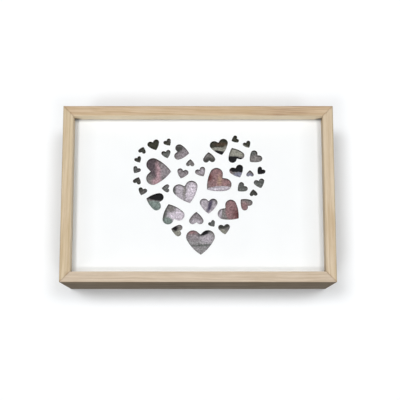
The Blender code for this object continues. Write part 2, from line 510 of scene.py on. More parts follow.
    def outside_shade_and_rings(self, tree: bpy.types.NodeTree, rail: bpy.types.NodeSocket,
                     outside: bpy.types.NodeSocket, drift: bpy.types.NodeSocket,
                     late_wood: bpy.types.NodeSocket) -> bpy.types.NodeSocket:
        """Darkens the outer face and its arris with painted shade, and brings out the rings, which the face
        cuts flat.

        Args:
            tree: the material's tree.
            rail: the place on the rail.
            outside: 1 on the outer face and 0 on the rest of the rail.
            drift: the wood's slow changes of tone.
            late_wood: the darker ends of the growth rings.

        Returns:
            The output that carries the brightness, which is 1 on the rest of the rail.
        """
        # Painted shade on the outer face, set for each rail and darkest on the lower one.
        dim = self.cut.outer_shade_dim
        inward = add_node(tree, "ShaderNodeSeparateXYZ", {0: rail}).outputs["Y"]
        patchy_and_shaded = add_node(tree, "ShaderNodeMapRange", {
            "Value": drift, "From Min": 0.3, "From Max": 0.7,
            "To Min": self.patch_tone[0] * dim, "To Max": self.patch_tone[1] * dim,
        })
        rings = add_node(tree, "ShaderNodeMapRange", {
            "Value": late_wood, "From Min": 0.0, "From Max": self.ring_strength,
            "To Min": self.flat_ring_tone[0], "To Max": self.flat_ring_tone[1],
        })
        flat_cut = add_node(tree, "ShaderNodeMath", {0: patchy_and_shaded.outputs[0], 1: rings.outputs[0]},
                            operation="MULTIPLY")
        face = add_node(tree, "ShaderNodeMix", {
            "Factor": outside, "A": 1.0, "B": flat_cut.outputs[0],
        }, data_type="FLOAT")
        # Painted shade along the outer arris.
        off = add_node(tree, "ShaderNodeMath", {0: inward, 1: self.arris_in_mm}, operation="SUBTRACT")
        away = add_node(tree, "ShaderNodeMath", {0: off.outputs[0]}, operation="ABSOLUTE")
        arris = add_node(tree, "ShaderNodeMapRange", {
            "Value": away.outputs[0], "From Min": self.arris_fade_mm[0], "From Max": self.arris_fade_mm[1],
            "To Min": self.cut.arris_shade_dim, "To Max": 1.0,
        })
        return add_node(tree, "ShaderNodeMath", {0: face.outputs[0], 1: arris.outputs[0]},
                        operation="MULTIPLY").outputs[0]

    def inner_wall(self, tree: bpy.types.NodeTree, rail: bpy.types.NodeSocket) -> bpy.types.NodeSocket:
        """Finds the inner wall from just past its rounded arris, where a pale colour is painted light."""
        inward = add_node(tree, "ShaderNodeSeparateXYZ", {0: rail}).outputs["Y"]
        face = self.sizes.rail_face / MM
        # The share of painted light on the inner wall.
        return add_node(tree, "ShaderNodeMapRange", {
            "Value": inward, "From Min": face - self.wall_edge_mm[0], "From Max": face - self.wall_edge_mm[1],
            "To Max": self.cut.inner_painted_light,
        }).outputs["Result"]

    def glue_line(self, tree: bpy.types.NodeTree, rail: bpy.types.NodeSocket,
                  streak: bpy.types.NodeSocket) -> bpy.types.NodeSocket:
        """Finds the thin line that glue has browned along both mitres, between 0 and its strength."""
        length = self.sizes.width if self.cut.side.lies_across else self.sizes.height
        mirrored = add_node(tree, "ShaderNodeVectorMath", {0: rail}, operation="ABSOLUTE").outputs[0]
        reach = add_node(tree, "ShaderNodeVectorMath", {0: mirrored, 1: (1, 1, 0)},
                         operation="DOT_PRODUCT").outputs["Value"]
        mitre = length / 2 / MM
        line = add_node(tree, "ShaderNodeMapRange", {
            "Value": reach, "From Min": mitre - self.glue_line_mm * math.sqrt(2), "From Max": mitre,
            "To Max": self.glue_line_strength,
        }, interpolation_type="SMOOTHSTEP").outputs["Result"]
        return self.broken_up(tree, line, streak)

    def corners(self, tree: bpy.types.NodeTree, rail: bpy.types.NodeSocket) -> bpy.types.NodeSocket:
        """Finds the painted shade at the foot of the recess's wall at each mitre, between 0 and its strength.
        """
        length = self.sizes.width if self.cut.side.lies_across else self.sizes.height
        face = self.sizes.rail_face / MM
        recess = (self.sizes.depth - self.sizes.panel_top) / MM
        mirrored = add_node(tree, "ShaderNodeVectorMath", {0: rail}, operation="ABSOLUTE").outputs[0]
        local = add_node(tree, "ShaderNodeMapping", {
            "Vector": mirrored,
            "Location": (length / 2 / MM - face, face, recess),
            "Scale": self.cut.corner_shade_mm,
        }, vector_type="TEXTURE").outputs["Vector"]
        reach = add_node(tree, "ShaderNodeVectorMath", {0: local}, operation="LENGTH").outputs["Value"]
        # Painted shade, darkest in the corner's core.
        return add_node(tree, "ShaderNodeMapRange", {
            "Value": reach, "From Min": self.corner_shade_core, "From Max": 1.0,
            "To Min": self.corner_shade_strength, "To Max": 0.0,
        }, interpolation_type="SMOOTHSTEP").outputs["Result"]


@dataclass(frozen=True)
class EggshellPaint:
    """White eggshell paint on thin MDF, sprayed: an even cold white with a faint stipple and little gloss.

    Painted shade darkens it beside the two side rails: a soft grey fade that adds to the walls' real shadow
    there.
    """

    open_width: float
    colour: str = "#EDEFF0"
    cloud_mm: float = 36.0
    cloud_dim: float = 0.985
    stipple_mm: float = 0.9
    stipple_relief_mm: float = 0.05
    # Painted shade beside the side rails: the width where it is full, the width over which it fades, and its
    # darkest brightness.
    painted_shade_mm: float = 8.0
    painted_shade_fade_mm: float = 16.0
    painted_shade_dim: float = 0.9

    def build(self) -> bpy.types.Material:
        """Makes the material."""
        material, shader = new_material("white_eggshell_paint", Roughness=0.58, IOR=1.5,
                                        Specular_IOR_Level=0.3)
        tree = material.node_tree
        place = add_node(tree, "ShaderNodeTexCoord").outputs["Object"]
        cloud = add_node(tree, "ShaderNodeTexNoise", {
            "Vector": place, "Scale": 1 / (self.cloud_mm * MM), "Detail": 2.0,
        }).outputs["Fac"]
        clouded = add_node(tree, "ShaderNodeMapRange", {
            "Value": cloud, "From Min": 0.35, "From Max": 0.65, "To Min": self.cloud_dim, "To Max": 1.0,
        })
        # The paint's brightness, with painted shade beside the side rails.
        brightness = add_node(tree, "ShaderNodeMath", {0: clouded.outputs[0], 1: self.painted_shade(tree, place)},
                              operation="MULTIPLY")
        white = add_node(tree, "ShaderNodeHueSaturation", {
            "Value": brightness.outputs[0], "Color": linear(self.colour),
        }).outputs["Color"]
        tree.links.new(white, shader.inputs["Base Color"])
        stipple = add_node(tree, "ShaderNodeTexNoise", {
            "Vector": place, "Scale": 1 / (self.stipple_mm * MM), "Detail": 1.0,
        }).outputs["Fac"]
        bump = add_node(tree, "ShaderNodeBump", {
            "Strength": 0.12, "Distance": self.stipple_relief_mm * MM, "Height": stipple,
        })
        tree.links.new(bump.outputs["Normal"], shader.inputs["Normal"])
        return material

    def painted_shade(self, tree: bpy.types.NodeTree, place: bpy.types.NodeSocket) -> bpy.types.NodeSocket:
        """Finds the painted shade's brightness, which is 1 from a finger's width away from the side rails."""
        across = add_node(tree, "ShaderNodeSeparateXYZ", {0: place}).outputs["X"]
        off_middle = add_node(tree, "ShaderNodeMath", {0: across}, operation="ABSOLUTE").outputs[0]
        full = self.open_width / 2 - self.painted_shade_mm * MM
        return add_node(tree, "ShaderNodeMapRange", {
            "Value": off_middle, "From Min": full - self.painted_shade_fade_mm * MM, "From Max": full,
            "To Min": 1.0, "To Max": self.painted_shade_dim,
        }).outputs["Result"]


@dataclass(frozen=True)
class LaserCutEdge:
    """The laser-cut edge of MDF: browned by the beam, dull, with fine upright scorch marks.

    upright_share is how often the marks repeat up the edge, as a share of how often they do along it.
    """

    colour: str = "#47382D"
    mark_mm: float = 0.4
    upright_share: float = 0.12
    scorch_dark: float = 0.75
    scorch_light: float = 1.15

    def build(self) -> bpy.types.Material:
        """Makes the material."""
        material, shader = new_material("laser_cut_mdf_edge", Roughness=0.85, IOR=1.45,
                                        Specular_IOR_Level=0.2)
        tree = material.node_tree
        place = add_node(tree, "ShaderNodeTexCoord").outputs["Object"]
        along = 1 / self.mark_mm / MM
        upright = self.upright_share / self.mark_mm / MM
        scaled = add_node(tree, "ShaderNodeVectorMath", {0: place, 1: (along, along, upright)},
                          operation="MULTIPLY").outputs[0]
        marks = add_node(tree, "ShaderNodeTexNoise", {"Vector": scaled, "Scale": 1.0, "Detail": 3.0})
        brightness = add_node(tree, "ShaderNodeMapRange", {
            "Value": marks.outputs["Fac"], "From Min": 0.3, "From Max": 0.7,
            "To Min": self.scorch_dark, "To Max": self.scorch_light,
        })
        edge = add_node(tree, "ShaderNodeHueSaturation", {
            "Value": brightness.outputs[0], "Color": linear(self.colour),
        }).outputs["Color"]
        tree.links.new(edge, shader.inputs["Base Color"])
        return material


class Ink(Enum):
    """The print's muted inks."""

    OLIVE_BLACK = "#38382F"
    BLACK = "#18181B"
    CHARCOAL = "#444440"
    SLATE = "#636563"
    WARM_GREY = "#7C7877"
    GREY = "#8C8A8B"
    STONE = "#8F8E85"
    SAGE = "#7A8782"
    MAUVE_GREY = "#8B8488"
    BLUE_GREY = "#868797"
    LILAC = "#ADA6AE"
    PALE_LILAC = "#CEC5D0"
    VIOLET = "#4E475A"
    DUSTY_ROSE = "#A98B92"
    ROSE_BROWN = "#8C6E70"
    WINE = "#66403F"
    PLUM_GREY = "#564C51"
    UMBER = "#4A3C2F"
    TAN = "#9C8273"


class Patch(NamedTuple):
    """One broad soft area of the print, placed on the pattern's grid.

    x and y are its middle, half_x and half_y its reach before its turn in degrees, and soft the share of
    the reach over which it fades.
    """

    x: float
    y: float
    half_x: float
    half_y: float
    turn: float
    ink: Ink
    soft: float = 0.3


@dataclass(frozen=True)
class MutedPrint:
    """A soft abstract print on matt card, in muted greys, mauves and dark olive.

    It shows no figure, only broad soft areas of tone over a grey ground, brushed on unevenly. A printed
    sheet's dots are finer than 0.2 mm and would not show, so its mottle is drawn about ten times as coarse.
    wobble_mm is how far the areas' edges wander, and the other sizes are those of each pattern.
    """

    cell: float
    middle: Point2
    patches: tuple[Patch, ...]
    wobble_mm: float = 1.3
    wobble_size_mm: float = 6.0
    brush_mm: float = 2.2
    brush_swirl: float = 1.6
    brush_dark: float = 0.66
    brush_light: float = 1.3
    grain_mm: float = 1.9
    grain_dark: float = 0.74
    grain_light: float = 1.18

    def build(self) -> bpy.types.Material:
        """Makes the material.

        Returns:
            The material, with each patch laid over the ones before it.
        """
        material, shader = new_material("matt_card_print", Roughness=0.6, IOR=1.5, Specular_IOR_Level=0.1)
        tree = material.node_tree
        place = add_node(tree, "ShaderNodeTexCoord").outputs["Object"]
        wobble = add_node(tree, "ShaderNodeTexNoise", {
            "Vector": place, "Scale": 1 / (self.wobble_size_mm * MM), "Detail": 2.0,
        }).outputs["Color"]
        moved = add_node(tree, "ShaderNodeVectorMath", {
            0: wobble, 1: (2 * self.wobble_mm * MM, 2 * self.wobble_mm * MM, 0), 2: place,
        }, operation="MULTIPLY_ADD").outputs[0]
        grid = add_node(tree, "ShaderNodeMapping", {
            "Vector": moved,
            "Location": tuple(-(at + self.wobble_mm * MM) / self.cell for at in self.middle) + (0,),
            "Scale": (1 / self.cell, 1 / self.cell, 0),
        }).outputs["Vector"]
        colour: Any = linear(Ink.WARM_GREY.value)
        for patch in self.patches:
            colour = self.lay(tree, grid, patch, colour)
        brush = add_node(tree, "ShaderNodeTexNoise", {
            "Vector": place, "Scale": 1 / (self.brush_mm * MM), "Detail": 4.0,
            "Distortion": self.brush_swirl,
        }).outputs["Fac"]
        brushed = add_node(tree, "ShaderNodeMapRange", {
            "Value": brush, "From Min": 0.32, "From Max": 0.68,
            "To Min": self.brush_dark, "To Max": self.brush_light,
        })
        grain = add_node(tree, "ShaderNodeTexNoise", {
            "Vector": place, "Scale": 1 / (self.grain_mm * MM), "Detail": 1.0,
        }).outputs["Fac"]
        mottle = add_node(tree, "ShaderNodeMapRange", {
            "Value": grain, "From Min": 0.36, "From Max": 0.64, "To Min": self.grain_dark,
            "To Max": self.grain_light,
        })
        brightness = add_node(tree, "ShaderNodeMath", {0: brushed.outputs[0], 1: mottle.outputs[0]},
                              operation="MULTIPLY")
        printed = add_node(tree, "ShaderNodeHueSaturation", {
            "Value": brightness.outputs[0], "Color": colour,
        }).outputs["Color"]
        tree.links.new(printed, shader.inputs["Base Color"])
        return material

    @staticmethod
    def lay(tree: bpy.types.NodeTree, grid: bpy.types.NodeSocket, patch: Patch,
            below: Any) -> bpy.types.NodeSocket:
        """Lays one patch over the colour below it.

        Args:
            tree: the material's tree.
            grid: the place on the pattern's grid.
            patch: the patch to lay.
            below: the colour, or the output that carries it.

        Returns:
            The output with both.
        """
        local = add_node(tree, "ShaderNodeMapping", {
            "Vector": grid,
            "Location": (patch.x, patch.y, 0),
            "Rotation": (0, 0, math.radians(patch.turn)),
            "Scale": (patch.half_x, patch.half_y, 1),
        }, vector_type="TEXTURE").outputs["Vector"]
        reach = add_node(tree, "ShaderNodeVectorMath", {0: local}, operation="LENGTH").outputs["Value"]
        cover = add_node(tree, "ShaderNodeMapRange", {
            "Value": reach, "From Min": 1 - patch.soft, "From Max": 1 + patch.soft, "To Min": 1.0,
            "To Max": 0.0,
        }, interpolation_type="SMOOTHSTEP").outputs["Result"]
        return add_node(tree, "ShaderNodeMix", {
            "Factor": cover, "A": below, "B": linear(patch.ink.value),
        }, data_type="RGBA").outputs["Result"]


@dataclass(frozen=True)
class Hardboard:
    """Brown hardboard, pressed smooth: warm brown with darker flecks of fibre and a dull sheen."""

    colour: str = "#8C6A48"
    fleck: str = "#5E4229"
    fleck_mm: float = 1.8

    def build(self) -> bpy.types.Material:
        """Makes the material."""
        material, shader = new_material("pressed_hardboard", Roughness=0.72, IOR=1.5, Specular_IOR_Level=0.3)
        tree = material.node_tree
        place = add_node(tree, "ShaderNodeTexCoord").outputs["Object"]
        flecks = add_node(tree, "ShaderNodeTexNoise", {
            "Vector": place, "Scale": 1 / (self.fleck_mm * MM), "Detail": 6.0, "Roughness": 0.7,
        }).outputs["Fac"]
        cover = add_node(tree, "ShaderNodeMapRange", {
            "Value": flecks, "From Min": 0.5, "From Max": 0.72,
        }).outputs["Result"]
        board = add_node(tree, "ShaderNodeMix", {
            "Factor": cover, "A": linear(self.colour), "B": linear(self.fleck),
        }, data_type="RGBA").outputs["Result"]
        tree.links.new(board, shader.inputs["Base Color"])
        bump = add_node(tree, "ShaderNodeBump", {"Strength": 0.2, "Distance": 0.1 * MM, "Height": flecks})
        tree.links.new(bump.outputs["Normal"], shader.inputs["Normal"])
        return material


# Rails

# For each side, the inner wall's pale share is painted light, and the dimming of the outer face, of its arris
# and of the corners is painted shade.
RAIL_CUTS = {
    "lower_rail": RailCut(
        Side.LOWER, "#D3C2AD", "#C1AF98", "#A28769", 46, 30, 210, slant=0.6, inner_painted_light=0.6, outer_shade_dim=0.83,
        arris_shade_dim=0.96,
    ),
    "right_rail": RailCut(
        Side.RIGHT, "#D2C1A6", "#C2AC8D", "#A28464", -38, 44, 640, slant=-0.8, arris_shade_dim=0.78,
    ),
    "upper_rail": RailCut(
        Side.UPPER, "#CFB899", "#BBA07F", "#957453", 24, 20, 1130, slant=2.0, inner_painted_light=1.0, arris_shade_dim=0.82,
        corner_shade_mm=(9.0, 1.8, 6.0),
        stains=(Stain(-96, 6, 50, 9, 0.7), Stain(-84, 9.4, 10, 2.2, 0.8), Stain(-108, 7.4, 16, 1.6, 0.5)),
    ),
    "left_rail": RailCut(
        Side.LEFT, "#D2C0A2", "#C1AB8B", "#A18664", -52, 26, 1780, slant=1.2, inner_painted_light=0.35, arris_shade_dim=0.84,
        stains=(Stain(84, 6.5, 4.5, 2.6, 0.35),),
    ),
}
SOLID_OF_RAIL = {"lower_rail": "rail_bottom", "right_rail": "rail_right", "upper_rail": "rail_top",
                 "left_rail": "rail_left"}


@dataclass
class RailFrame:
    """The four mitred rails, with eased edges, a groove for the panel and a rebate for the back board.

    mitre_sharper_than and smooth_below are angles between faces in degrees: edges sharper than the first are
    eased at the mitres, and edges flatter than the second are shaded smooth.
    """

    sizes: BoxSizes
    front_ease: float = 0.8 * MM
    back_ease: float = 0.5 * MM
    mitre_gap: float = 0.12 * MM
    mitre_ease: float = 0.15 * MM
    groove_slack: float = 0.3 * MM
    ease_steps: int = 4
    mitre_ease_steps: int = 2
    mitre_sharper_than: float = 40
    smooth_below: float = 35

    def profile(self) -> list[Point2]:
        """Draws the rail's section as distances in from its outer face and heights, counter-clockwise.

        Returns:
            The section's corners, with the eased ones as short arcs.
        """
        face = self.sizes.rail_face
        wall = face - self.sizes.groove_depth - self.groove_slack
        rebate_top = self.sizes.back_top + self.groove_slack
        corners = (
            ((0.0, 0.0), self.back_ease),
            ((wall, 0.0), self.back_ease),
            ((wall, rebate_top), 0.0),
            ((face, rebate_top), self.back_ease),
            ((face, self.sizes.print_bottom - self.groove_slack), 0.0),
            ((wall, self.sizes.print_bottom - self.groove_slack), 0.0),
            ((wall, self.sizes.panel_top + self.groove_slack), 0.0),
            ((face, self.sizes.panel_top + self.groove_slack), 0.0),
            ((face, self.sizes.depth), self.front_ease),
            ((0.0, self.sizes.depth), self.front_ease),
        )
        points: list[Point2] = []
        for index, (corner, ease) in enumerate(corners):
            before = corners[index - 1][0]
            after = corners[(index + 1) % len(corners)][0]
            points += self.eased(before, corner, after, ease)
        return points

    def eased(self, before: Point2, corner: Point2, after: Point2, ease: float) -> list[Point2]:
        """Rounds a square corner.

        Args:
            before: the corner before it.
            corner: the corner itself.
            after: the corner after it.
            ease: the rounding's radius, or 0 to leave the corner sharp.

        Returns:
            The corner alone, or the points of a quarter circle that takes its place.
        """
        if not ease:
            return [corner]
        here = Vector(corner)
        back = (Vector(before) - here).normalized() * ease
        on = (Vector(after) - here).normalized() * ease
        centre = here + back + on
        points = []
        for step in range(self.ease_steps + 1):
            angle = math.pi / 2 * step / self.ease_steps
            spot = centre - on * math.cos(angle) - back * math.sin(angle)
            points.append((spot.x, spot.y))
        return points

    def rail_mesh(self, name: str, side: Side) -> bpy.types.Mesh:
        """Runs the section along one side between its two mitres.

        Args:
            name: the mesh's name.
            side: the side of the box.

        Returns:
            A closed mesh in its place on the box.
        """
        length = self.sizes.width if side.lies_across else self.sizes.height
        away = (self.sizes.height if side.lies_across else self.sizes.width) / 2
        section = self.profile()
        bm = bmesh.new()
        ends = []
        for direction in (-1, 1):
            ring = []
            for inward, height in section:
                reach = length / 2 - inward - self.mitre_gap / math.sqrt(2)
                ring.append(bm.verts.new((direction * reach, inward - away, height)))
            ends.append(ring)
        left, right = ends
        bm.faces.new(reversed(left))
        bm.faces.new(right)
        for index in range(len(section)):
            after = (index + 1) % len(section)
            bm.faces.new((left[index], left[after], right[after], right[index]))
        bmesh.ops.recalc_face_normals(bm, faces=bm.faces)
        bm.transform(Matrix.Rotation(side.turn, 4, "Z"))
        mesh = bpy.data.meshes.new(name)
        bm.to_mesh(mesh)
        bm.free()
        return mesh

    def build(self) -> list[bpy.types.Object]:
        """Makes and dresses the four rails.

        Returns:
            The rails.
        """
        rails = []
        for name, cut in RAIL_CUTS.items():
            rail = mesh_object(name, self.rail_mesh(name, cut.side))
            ease = rail.modifiers.new("mitre_ease", "BEVEL")
            ease.width = self.mitre_ease
            ease.segments = self.mitre_ease_steps
            ease.limit_method = "ANGLE"
            ease.angle_limit = math.radians(self.mitre_sharper_than)
            as_plain_mesh(rail)
            smooth(rail.data, self.smooth_below)
            rail.data.materials.clear()
            rail.data.materials.append(WaxedPine("waxed_pine_" + name, cut, self.sizes).build())
            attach(rail, "root")
            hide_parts(SOLID_OF_RAIL[name])
            rails.append(rail)
        return rails


# The heart of cut-outs

class CutOut(NamedTuple):
    """One heart-shaped cut-out on the pattern's grid, turned counter-clockwise from upright in degrees."""

    x: float
    y: float
    width: float
    turn: float


CUT_OUTS = (
    # Left lobe, from its top down
    CutOut(-46.1, 50.2, 12.0, 22),
    CutOut(-32.2, 53.0, 8.0, 35),
    CutOut(-57.3, 44.6, 7.6, 164),
    CutOut(-17.5, 42.9, 16.3, 83),
    CutOut(-33.3, 40.8, 9.3, 15),
    CutOut(-61.6, 35.5, 7.2, 30),
    CutOut(-40.4, 23.3, 28.0, 90),
    CutOut(-9.0, 32.0, 8.2, 178),
    CutOut(-62.0, 25.2, 8.0, -33),
    CutOut(-16.2, 21.4, 11.2, -17),
    CutOut(0.9, 23.2, 10.6, 30),
    CutOut(-62.1, 13.9, 8.1, 159),
    CutOut(-56.0, 3.5, 8.7, -18),
    CutOut(-33.5, 6.4, 8.3, -90),
    # Right lobe, from its top down
    CutOut(19.7, 48.1, 18.4, 15),
    CutOut(36.2, 56.1, 7.8, -65),
    CutOut(47.5, 50.8, 8.0, 29),
    CutOut(10.0, 37.5, 12.0, -176),
    CutOut(37.3, 39.5, 16.7, -155),
    CutOut(56.9, 38.5, 13.7, -48),
    CutOut(20.0, 15.2, 26.8, -52),
    CutOut(37.0, 23.8, 14.3, 24),
    CutOut(50.7, 21.4, 7.4, 180),
    CutOut(62.2, 24.3, 8.7, -42),
    CutOut(43.4, 7.9, 10.7, -49),
    CutOut(59.6, 11.4, 10.6, 17),
    CutOut(54.1, 2.0, 7.7, 185),
    # Middle and tip
    CutOut(-13.9, 2.9, 25.0, 17),
    CutOut(-43.9, -6.9, 18.4, -106),
    CutOut(-25.4, -19.3, 22.4, -160),
    CutOut(9.4, -11.3, 17.6, 0),
    CutOut(28.8, -14.8, 22.8, 51),
    CutOut(47.1, -9.9, 12.9, -134),
    CutOut(-2.8, -23.1, 14.2, 180),
    CutOut(-22.0, -35.4, 11.8, -103),
    CutOut(12.2, -28.3, 7.2, 35),
    CutOut(24.6, -34.1, 11.5, 7),
    CutOut(1.3, -47.0, 28.3, 1),
)


@dataclass(frozen=True)
class HeartShape:
    """One heart, one unit wide with its tip down, as shares of its own width and leans from upright."""

    lobe: float = 0.24
    tall: float = 0.885
    notch_lean: float = math.radians(47)
    tip_lean: float = math.radians(56)
    lobe_steps: int = 26
    side_steps: int = 9

    def outline(self) -> list[Point2]:
        """Draws the outline counter-clockwise, with the lobes' centres on the X axis.

        Returns:
            The points of two lobes, each an arc, and of two sides, each an arc that goes on from its lobe.
        """
        lobe_x = 0.5 - self.lobe
        notch = (self.lobe - lobe_x * math.cos(self.notch_lean)) / math.sin(self.notch_lean)
        tip = self.tall - self.lobe
        rise = tip * math.sin(self.tip_lean) - lobe_x * math.cos(self.tip_lean) - self.lobe
        side = (lobe_x ** 2 + tip ** 2 - self.lobe ** 2) / (2 * rise)
        side_centre = (-side * math.cos(self.tip_lean), side * math.sin(self.tip_lean) - tip)
        lobe_end = math.atan2(-side_centre[1], lobe_x - side_centre[0])
        right = self.arc((lobe_x, 0), self.lobe, math.pi - self.notch_lean, lobe_end, self.lobe_steps)
        right += self.arc(side_centre, side, lobe_end, -self.tip_lean, self.side_steps)[1:-1]
        left = [(-x, y) for x, y in right]
        return [(0, notch)] + left + [(0, -tip)] + right[::-1]

    @staticmethod
    def arc(centre: Point2, radius: float, start: float, end: float, steps: int) -> list[Point2]:
        """Lists the points of an arc from one angle to another."""
        turns = [start + (end - start) * step / steps for step in range(steps + 1)]
        return [(centre[0] + radius * math.cos(turn), centre[1] + radius * math.sin(turn)) for turn in turns]


@dataclass
class HeartPattern:
    """The cut-outs laid out between the rails, at their real size."""

    sizes: BoxSizes
    shape: HeartShape = HeartShape()
    margin: float = 18.0 * MM
    right: float = 1.2 * MM
    up: float = 0.7 * MM
    cell_ratio: float = 1.02
    flat_ratio: float = 0.955

    def __post_init__(self) -> None:
        """Fits the grid's cell to the open panel, within the margin on every side."""
        points = [point for cut in CUT_OUTS for point in self.on_grid(cut)]
        left, right = min(x for x, y in points), max(x for x, y in points)
        low, high = min(y for x, y in points), max(y for x, y in points)
        across = (self.sizes.open_width - 2 * self.margin) / (right - left)
        upright = (self.sizes.open_height - 2 * self.margin) / (high - low)
        self.cell = min(across, upright)
        self.middle = (self.right - (left + right) / 2 * self.cell, self.up - (low + high) / 2 * self.cell)

    def turned(self, cut: CutOut) -> list[Point2]:
        """Turns and sizes a heart around the middle between its lobes, before it is flattened."""
        cosine, sine = math.cos(math.radians(cut.turn)), math.sin(math.radians(cut.turn))
        return [(cut.width * (x * cosine - y * sine), cut.width * (x * sine + y * cosine))
                for x, y in self.shape.outline()]

    def anchor(self, cut: CutOut) -> Point2:
        """Finds where the point between a heart's lobes goes, so that the heart's extent is centred."""
        points = self.turned(cut)
        middle_x = (min(x for x, y in points) + max(x for x, y in points)) / 2
        middle_y = (min(y for x, y in points) + max(y for x, y in points)) / 2
        return cut.x - middle_x, cut.y / self.flat_ratio - middle_y

    def on_grid(self, cut: CutOut) -> list[Point2]:
        """Places a heart's outline on the grid, with the grid's cells as tall as they are."""
        anchor_x, anchor_y = self.anchor(cut)
        upright = self.flat_ratio * self.cell_ratio
        return [(x + anchor_x, (y + anchor_y) * upright) for x, y in self.turned(cut)]

    def points(self) -> bpy.types.Mesh:
        """Makes one vertex for each heart, with its width and turn as attributes, before it is flattened."""
        mesh = bpy.data.meshes.new("heart_places")
        mesh.from_pydata([(*self.anchor(cut), 0) for cut in CUT_OUTS], [], [])
        width = mesh.attributes.new("width", "FLOAT", "POINT")
        turn = mesh.attributes.new("turn", "FLOAT", "POINT")
        for index, cut in enumerate(CUT_OUTS):
            width.data[index].value = cut.width
            turn.data[index].value = math.radians(cut.turn)
        return mesh


